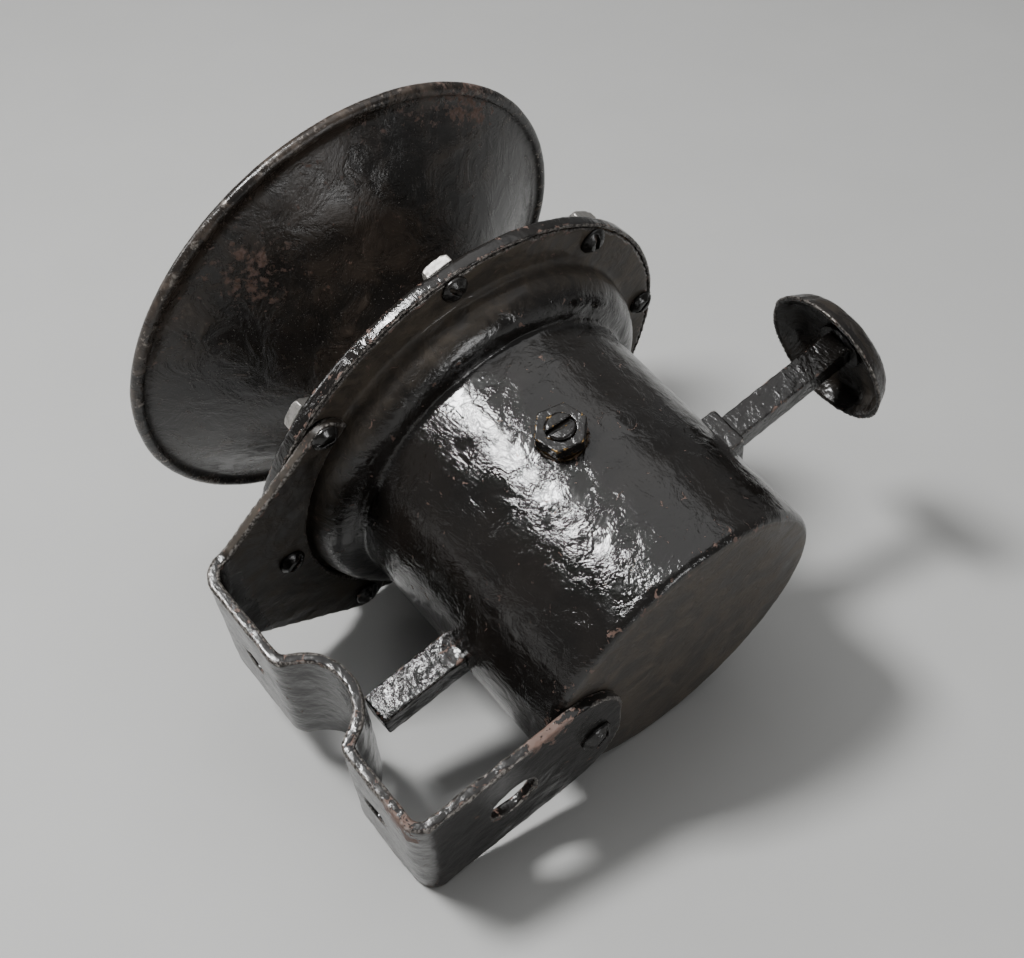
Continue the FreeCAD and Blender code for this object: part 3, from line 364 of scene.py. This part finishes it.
def enamel(name, gloss, chips, lumps, under=PRIMER, metal=0.0, brown=0.35, worn_glint=0.0, coat=0.0):
    """Thick glossy black enamel: brushed lumps, chips at the edges, dust where it is sheltered.

    A piece's "bare" attribute adds chips where its paint has flaked off; under and metal are
    the colour and the metallic share of what the chips show. worn_glint is how far the convex
    edges are rubbed through to hammered bright metal, whose pale specks are painted glints,
    and coat is the share of clear gloss on top.
    """
    s = Shader(name)
    broad = s.noise(30 * MM, 3, 0.6)
    patch = s.noise(9 * MM, 5, 0.65, 0.6)
    fine = s.noise(1.9 * MM, 3, 0.6, 0.3)
    grain = s.noise(0.7 * MM, 2, 0.5)
    strokes = s.noise(2.4 * MM, 3, 0.55, 0.3, BRUSH_STROKES)
    edge = s.attribute("edge")
    dust = s.attribute("dust")
    chip_noise = s.noise(3.2 * MM, 6, 0.7, 0.8)
    bare = s.attribute("bare")
    chip_at = s.math("ADD", s.math("MULTIPLY", edge, 0.32), s.math("MULTIPLY", bare, 0.20))
    chip_mask = s.ramp(s.math("ADD", chip_noise, chip_at), 0.94 - chips * 0.12, 0.955 - chips * 0.12)
    dusty = s.ramp(s.math("ADD", dust, s.math("MULTIPLY", patch, 0.5)), 0.45, 1.05)
    sooty = s.ramp(broad, 0.42, 0.7)
    colour = s.mix(s.math("MULTIPLY", sooty, brown), BLACK, SOOT)
    dust_colour = s.mix(s.ramp(patch, 0.35, 0.65), DARK_DUST, BROWN_DUST)
    colour = s.mix(s.math("MULTIPLY", dusty, 0.85), colour, dust_colour)
    colour = s.mix(chip_mask, colour, s.mix(fine, under, RUST))
    dull = s.ramp(patch, 0.45, 0.72)
    rough = s.mix(s.math("MULTIPLY", dull, 0.5), gloss, gloss + 0.2)
    rough = s.mix(dusty, rough, 0.72)
    rough = s.mix(chip_mask, rough, 0.62)
    metallic = s.math("MULTIPLY", chip_mask, metal) if metal else 0.0
    if worn_glint:
        # Convex edges rubbed to bright metal; the pale specks there are painted glints of the lumpy
        # paint.
        rub_and_glint_at = s.math("ADD", edge, s.math("MULTIPLY", patch, 0.4))
        rub_and_glint = s.ramp(rub_and_glint_at, 1.10 - worn_glint * 0.2, 1.24 - worn_glint * 0.2)
        rub_and_glint = s.math("MULTIPLY", rub_and_glint, s.math("SUBTRACT", 1.0, bare))
        wear_and_glint_specks = s.mix(s.ramp(grain, 0.4, 0.62), DARK_WEAR_GLINT, PALE_SCRATCH_AND_GLINT)
        colour = s.mix(rub_and_glint, colour, wear_and_glint_specks)
        rough = s.mix(rub_and_glint, rough, 0.3)
        metallic = s.math("MULTIPLY", rub_and_glint, 0.5)
    ripples = s.noise(4.5 * MM, 2, 0.5, 0.4)
    rough_patch = s.ramp(patch, 0.40, 0.60)
    normal = s.bump(ripples, 0.40 * MM * lumps, 0.9)
    normal = s.bump(s.math("MULTIPLY", strokes, rough_patch), 0.22 * MM * lumps, 0.9, normal)
    normal = s.bump(s.math("MULTIPLY", fine, rough_patch), 0.13 * MM * lumps, 0.9, normal)
    normal = s.bump(grain, 0.012 * MM, 0.8, normal)
    normal = s.bump(s.math("SUBTRACT", 1.0, chip_mask), 0.12 * MM, 0.8, normal)
    return s.set(Base_Color=colour, Roughness=rough, Metallic=metallic, Normal=normal,
                 Coat_Weight=coat, Coat_Roughness=0.09)


def bell_paint():
    """Thin satin black over steel: grey sheen, brown patina, rubbed rim, rust and scratches."""
    s = Shader("bell_patina")
    broad = s.noise(38 * MM, 4, 0.62, 0.5)
    patch = s.noise(11 * MM, 6, 0.68, 0.7)
    spots = s.noise(2.6 * MM, 5, 0.7)
    fine = s.noise(1.1 * MM, 3, 0.6)
    scratch_a = s.noise(5 * MM, 2, 0.5, 0.0, ((0.3, 0.5, 0.9), (9.0, 0.5, 9.0)))
    scratch_b = s.noise(4 * MM, 2, 0.5, 0.0, ((1.1, 0.2, 2.3), (11.0, 0.6, 11.0)))
    edge = s.attribute("edge")
    rust = s.attribute("rust")
    brown_at = s.math("ADD", s.math("MULTIPLY", broad, 0.6), s.math("MULTIPLY", patch, 0.5))
    brown = s.ramp(brown_at, 0.48, 0.68)
    rubbed = s.ramp(s.math("ADD", patch, s.math("MULTIPLY", edge, 0.10)), 0.62, 0.72)
    rim = s.ramp(s.math("ADD", spots, s.math("MULTIPLY", edge, 0.5)), 1.06, 1.16)
    rust_at = s.math("ADD", s.math("ADD", spots, s.math("MULTIPLY", broad, 0.35)), rust)
    rusty = s.ramp(rust_at, 0.80, 0.92)
    lines = s.math("MAXIMUM", s.ramp(scratch_a, 0.68, 0.75), s.ramp(scratch_b, 0.69, 0.76))
    colour = s.mix(brown, SATIN_BLACK, SATIN_BROWN)
    colour = s.mix(s.math("MULTIPLY", rubbed, 0.5), colour, THIN_PAINT)
    rust_colour = s.mix(s.ramp(fine, 0.35, 0.65), PRIMER, RUST)
    colour = s.mix(s.math("MULTIPLY", rusty, 0.9), colour, rust_colour)
    colour = s.mix(s.math("MULTIPLY", lines, 0.45), colour, PALE_SCRATCH_AND_GLINT)
    colour = s.mix(rim, colour, BRIGHT_RIM)
    rough = s.mix(brown, 0.20, 0.34)
    rough = s.mix(rusty, rough, 0.7)
    rough = s.mix(rim, rough, 0.34)
    normal = s.bump(patch, 0.35 * MM, 0.7)
    normal = s.bump(s.math("MULTIPLY", spots, s.ramp(patch, 0.42, 0.6)), 0.16 * MM, 0.8, normal)
    normal = s.bump(fine, 0.015 * MM, 0.8, normal)
    normal = s.bump(s.math("SUBTRACT", 1.0, lines), 0.03 * MM, 0.5, normal)
    return s.set(Base_Color=colour, Roughness=rough, Metallic=s.math("MULTIPLY", rim, 0.8), Normal=normal)


def bare_metal(name, colour, rough, grime=GRIME, grime_share=0.5):
    """Handled bare metal with fine scratches and grime in its low places."""
    s = Shader(name)
    patch = s.noise(3.5 * MM, 5, 0.65)
    scratch = s.noise(1.2 * MM, 3, 0.6, 0.0, ((0.4, 0.9, 0.3), (7.0, 0.8, 7.0)))
    dirty = s.ramp(patch, 0.42, 0.66)
    base = s.mix(s.math("MULTIPLY", dirty, grime_share), colour, grime)
    roughness = s.mix(dirty, rough, min(rough + 0.3, 0.9))
    normal = s.bump(scratch, 0.02 * MM, 0.6)
    normal = s.bump(patch, 0.08 * MM, 0.5, normal)
    return s.set(Base_Color=base, Metallic=1.0, Roughness=roughness, Normal=normal)


def fibre():
    """Compressed gasket fibre."""
    s = Shader("gasket_fibre")
    strands = s.noise(1.5 * MM, 5, 0.7, 1.5)
    colour = s.mix(strands, (0.05, 0.03, 0.018), (0.17, 0.11, 0.065))
    return s.set(Base_Color=colour, Roughness=0.85, Normal=s.bump(strands, 0.1 * MM, 0.7))


# ---- dust maps, in horn axes and millimetres -------------------------------------------------
def drum_dust(p, bend):
    """Dust on the flange's rear face and on the back of the can, where hands don't reach."""
    flange = np.clip((p[:, 1] - FLANGE_DUST_Y) / FLANGE_DUST_SPAN, 0, 1)
    back = np.clip((DRUM_BACK_Y - p[:, 1]) / DRUM_BACK_SPAN, 0, 1) * 0.62
    return np.maximum(np.maximum(flange * 0.68, back), np.clip(-bend, 0, 1) * 0.5)


def cover_dust(p, bend):
    """Dust inside the rim and on the front of the cover."""
    radius = np.hypot(p[:, 0], p[:, 2])
    inside = np.clip((COVER_RIM_R - radius) / COVER_RIM_SPAN, 0, 1)
    return inside * 0.65 + np.clip(-bend, 0, 1) * 0.3


def hollow_dust(p, bend):
    """Dust in the hollows only."""
    return np.clip(-bend * 1.2, 0, 1) * 0.6


def bare_patches(p, patches):
    """Round patches, each a centre and a reach, where the paint has flaked off."""
    shares = [1.4 - np.linalg.norm(p - centre, axis=1) / reach for centre, reach in patches]
    return np.clip(np.max(shares, axis=0), 0, 1)


def button_dust(p, bend):
    """The underside of the cap is dull and brown."""
    radius = np.hypot(p[:, 1] - PLUNGER_Y, p[:, 2])
    under = (p[:, 0] < BUTTON_UNDER_X - BUTTON_UNDER_SLOPE * radius) & (radius < BUTTON_UNDER_R)
    return np.where(under, 0.35, 0.05)


def bracket_dust(p, bend):
    """Dust in the bracket's hollows and on its plate behind the flange."""
    along = np.clip((p[:, 0] - BRACKET_FOOT[0]) / BRACKET_FOOT_SPAN[0], 0, 1)
    plate = np.clip((p[:, 1] - BRACKET_FOOT[1]) / BRACKET_FOOT_SPAN[1], 0, 1) * along
    return plate * 0.6 + np.clip(-bend, 0, 1) * 0.4


def bell_rust(p):
    """The band inside the mouth and one patch near the lip where the paint has gone."""
    radius = np.hypot(p[:, 0], p[:, 2])
    turn = np.degrees(np.arctan2(p[:, 2], p[:, 0]))
    around = np.clip(1 - np.abs(turn - BELL_BAND_TURN) / BELL_BAND_HALF, 0, 1)
    band = np.clip((radius - BELL_BAND_R) / BELL_BAND_SPAN, 0, 1) * around
    away = np.hypot(radius - BELL_PATCH_R, turn - BELL_PATCH_TURN)
    patch = np.clip(1.2 - away / BELL_PATCH_REACH, 0, 1)
    return band * 0.15 + patch * 0.17


# ---- pieces ---------------------------------------------------------------------------------
def bell_profile():
    """Closed outline of the bell as (radius, distance along its axis), from seat to seat."""
    bead_r = BELL_R - BEAD_R
    bead_y = BELL_MOUTH_Y - BEAD_R
    mouth = math.radians(BEAD_MOUTH_ANGLE)
    flare = bead_r + BEAD_R * math.cos(mouth) - THROAT_R
    length = bead_y + BEAD_R * math.sin(mouth) - BELL_BACK_Y
    inner = []
    outer = []
    for i in range(FLARE_ROWS + 1):
        share = i / FLARE_ROWS
        slope = flare * FLARE_POWER * share ** (FLARE_POWER - 1)
        norm = math.hypot(length, slope)
        r = THROAT_R + flare * share ** FLARE_POWER
        y = BELL_BACK_Y + length * share
        inner.append((r, y))
        if FLARE_OUTER_SPAN[0] < share < FLARE_OUTER_SPAN[1]:
            outer.append((r + BELL_SHEET * length / norm, y - BELL_SHEET * slope / norm))
    bead = []
    bead_turn = 360 + BEAD_MOUTH_ANGLE - BEAD_BACK_ANGLE - BEAD_GAP_ANGLE
    for i in range(BEAD_POINTS):
        a = math.radians(BEAD_BACK_ANGLE + bead_turn * (i + 0.5) / BEAD_POINTS)
        bead.append((bead_r + BEAD_R * math.cos(a), bead_y + BEAD_R * math.sin(a)))
    seat_y = BELL_BACK_Y + BELL_SHEET
    seat = [(SEAT_R, BELL_BACK_Y), (SEAT_R, seat_y)]
    seat += [(THROAT_R + step * MM, seat_y) for step in (4, 1.6)]
    return seat + outer + bead + inner[::-1]


def lathe(name, outline, segments):
    """Closed outline turned about the bell axis."""
    mesh = bpy.data.meshes.new(name)
    turns = np.linspace(0, 2 * math.pi, segments, endpoint=False)
    rings = np.array(outline)
    co = np.empty((len(rings), segments, 3))
    co[..., 0] = rings[:, :1] * np.cos(turns)
    co[..., 1] = rings[:, 1:]
    co[..., 2] = rings[:, :1] * np.sin(turns)
    place = np.array(HORN)
    flat = co.reshape(-1, 3) @ place[:3, :3].T + place[:3, 3]
    faces = []
    for i in range(len(rings)):
        j = (i + 1) % len(rings)
        for k in range(segments):
            m = (k + 1) % segments
            near, far = i * segments, j * segments
            faces.append((near + k, far + k, far + m, near + m))
    mesh.from_pydata(flat.tolist(), [], faces)
    mesh.update()
    return new_object(name, mesh)


def bell(material):
    """The bell with the slight dents and ripples of a spun sheet that has been knocked about."""
    obj = lathe("spun_bell", bell_profile(), BELL_SEGMENTS)
    mesh = obj.data
    work = bmesh.new()
    work.from_mesh(mesh)
    bmesh.ops.recalc_face_normals(work, faces=work.faces)
    work.to_mesh(mesh)
    work.free()
    co = points_of(mesh)
    horn = horn_coords(co)
    shared = np.column_stack((horn[:, 0], horn[:, 1] * 0.3, horn[:, 2]))
    dents = fractal(shared, 34 * MM, 2, 3.0) * 0.22 * MM
    dents = dents + fractal(shared, 9 * MM, 2, 7.0) * 0.06 * MM
    free = np.clip((horn[:, 1] - BELL_BACK_Y - 4 * MM) / (20 * MM), 0, 1)
    radius = np.hypot(horn[:, 0], horn[:, 2])
    outward = np.column_stack((horn[:, 0] / radius, np.zeros(len(horn)), horn[:, 2] / radius))
    outward = outward @ np.array(HORN)[:3, :3].T
    lumps = fractal(co, 5 * MM, 3, 1.0) * 0.05 * MM
    set_points(mesh, co + outward * (dents * free)[:, None] + normals_of(mesh) * lumps[:, None])
    bead = np.clip((radius - (BELL_R - 2.6 * BEAD_R)) / BEAD_R, 0, 1)
    paint(obj, "edge", bead)
    paint(obj, "rust", bell_rust(horn / MM))
    finish_piece(obj, material, "housing", ["bell_horn"])


def painted_parts():
    """Every outside piece that carries paint."""
    gloss = enamel("black_enamel", gloss=0.15, chips=1.0, lumps=0.8, worn_glint=0.35, coat=0.2)
    bracket = enamel("bracket_enamel", gloss=0.17, chips=1.0, lumps=0.45, worn_glint=0.7)
    tube = enamel("tube_enamel", gloss=0.19, chips=0.8, lumps=1.1, worn_glint=0.2)
    cap = enamel("button_enamel", gloss=0.2, chips=0.6, lumps=0.9, brown=0.8, worn_glint=0.5)
    screw = enamel("screw_enamel", gloss=0.2, chips=0.4, lumps=0.5)
    pivot = enamel("pivot_enamel", gloss=0.2, chips=0.95, lumps=0.6, under=BRASS, metal=1.0)
    bell(bell_paint())
    coated("housing_drum", 0.82 * MM, 0.16 * MM, 9 * MM, 3, gloss, dust=drum_dust)
    coated("front_cover", 0.75 * MM, 0.14 * MM, 8 * MM, 2, gloss, dust=cover_dust)
    coated("mounting_bracket", 0.6 * MM, 0.22 * MM, 7 * MM, 4, bracket, dust=bracket_dust,
           bare=BRACKET_BARE)
    coated("guide_tube", 0.35 * MM, 0.22 * MM, 5 * MM, 3, tube, dust=hollow_dust, bare=TUBE_BARE)
    coated("plunger_collar", 0.35 * MM, 0.06 * MM, 4 * MM, 3, tube, dust=hollow_dust)
    coated("push_button", 0.4 * MM, 0.16 * MM, 6 * MM, 3, cap, "plunger", dust=button_dust)
    coated("plunger_bar", 0.4 * MM, 0.03 * MM, 5 * MM, 2, tube, "plunger", dust=hollow_dust)
    for node in ("flange_screws", "bracket_rear_screw"):
        coated(node, 0.27 * MM, 0.10 * MM, 3 * MM, 2, screw, dust=hollow_dust)
    for side in ("near", "far"):
        coated(side + "_locknut", 0.28 * MM, 0.10 * MM, 4 * MM, 2, pivot,
               dust=hollow_dust)
        coated(side + "_bearing_screw", 0.26 * MM, 0.07 * MM, 3 * MM, 2, pivot,
               dust=hollow_dust)
    nut = bare_metal("bare_nut_steel", (0.62, 0.60, 0.57), 0.34, grime_share=0.6)
    coated("flange_nuts", 0.27 * MM, 0.03 * MM, 3 * MM, 1, nut)


def inner_parts():
    """Materials for the CAD nodes that are shown as they are."""
    finishes = {
        "bell_enamel": enamel("rivet_enamel", gloss=0.3, chips=0.3, lumps=0.4),
        "black_enamel": enamel("hidden_enamel", gloss=0.25, chips=0.3, lumps=0.5),
        "bearing_bronze": bare_metal("bearing_bronze", (0.50, 0.33, 0.15), 0.35, (0.08, 0.05, 0.02)),
        "gasket_fibre": fibre(),
        "spring_steel": bare_metal("spring_steel", (0.36, 0.37, 0.40), 0.30),
        "machined_steel": bare_metal("machined_steel", (0.50, 0.49, 0.47), 0.32, (0.06, 0.045, 0.03)),
    }
    for part in frame["record"]["subparts"]:
        finish = finishes.get(part["material_slot"])
        if finish:
            node = frame["nodes"][part["node"]]
            for slot in node.material_slots:
                slot.material = finish


# ---- studio ---------------------------------------------------------------------------------
def floor():
    mesh = bpy.data.meshes.new("studio_floor")
    signs = ((-1, -1), (1, -1), (1, 1), (-1, 1))
    corners = [(x * FLOOR_HALF, y * FLOOR_HALF, 0) for x, y in signs]
    mesh.from_pydata(corners, [], [(0, 1, 2, 3)])
    obj = new_object("studio_floor", mesh)
    s = Shader("pale_floor")
    mottle = s.noise(60 * MM, 4, 0.6)
    colour = s.mix(mottle, FLOOR_DARK, FLOOR_PALE)
    normal = s.bump(mottle, 0.2 * MM, 0.2)
    mesh.materials.append(s.set(Base_Color=colour, Roughness=0.85, Normal=normal))


def soft_light(name, place, aim, size, power):
    """An area light of that size in metres and power in watts, turned towards aim."""
    light = bpy.data.lights.new(name, "AREA")
    light.shape = "RECTANGLE"
    light.size, light.size_y = size
    light.energy = power
    obj = bpy.data.objects.new(name, light)
    obj.location = place
    obj.rotation_euler = (Vector(aim) - Vector(place)).to_track_quat("-Z", "Y").to_euler()
    bpy.context.scene.collection.objects.link(obj)


def studio():
    """Small key high on the camera's left, a wide ceiling, two weak side lights, grey air."""
    turn = math.radians(CAMERA_TURN[2])
    right = Vector((math.cos(turn), math.sin(turn), 0))
    away = Vector((-math.sin(turn), math.cos(turn), 0))
    up = Vector((0, 0, 1))
    centre = (cad_low + cad_high) / 2
    soft_light("key", centre - right * 0.42 - away * 0.10 + up * 0.82, centre, (0.20, 0.20), 13)
    soft_light("ceiling", centre + right * 0.3 + away * 0.4 + up * 2.2, centre, (2.6, 2.6), 22)
    soft_light("side", centre - right * 1.1 + away * 0.25 + up * 0.45, centre, (0.18, 0.5), 3)
    soft_light("low", centre + right * 0.85 - away * 0.8 + up * 0.22, centre, (0.3, 0.3), 3)
    world = bpy.data.worlds.new("studio")
    world.use_nodes = True
    background = world.node_tree.nodes["Background"]
    background.inputs["Color"].default_value = (WORLD_GREY, WORLD_GREY, WORLD_GREY, 1)
    background.inputs["Strength"].default_value = WORLD_STRENGTH
    bpy.context.scene.world = world


def camera():
    data = bpy.data.cameras.new("main")
    data.lens = LENS
    data.sensor_width = SENSOR
    obj = bpy.data.objects.new("main", data)
    obj.location = CAMERA_PLACE
    obj.rotation_euler = [math.radians(a) for a in CAMERA_TURN]
    bpy.context.scene.collection.objects.link(obj)
    bpy.context.scene.camera = obj


painted_parts()
inner_parts()
floor()
studio()
camera()
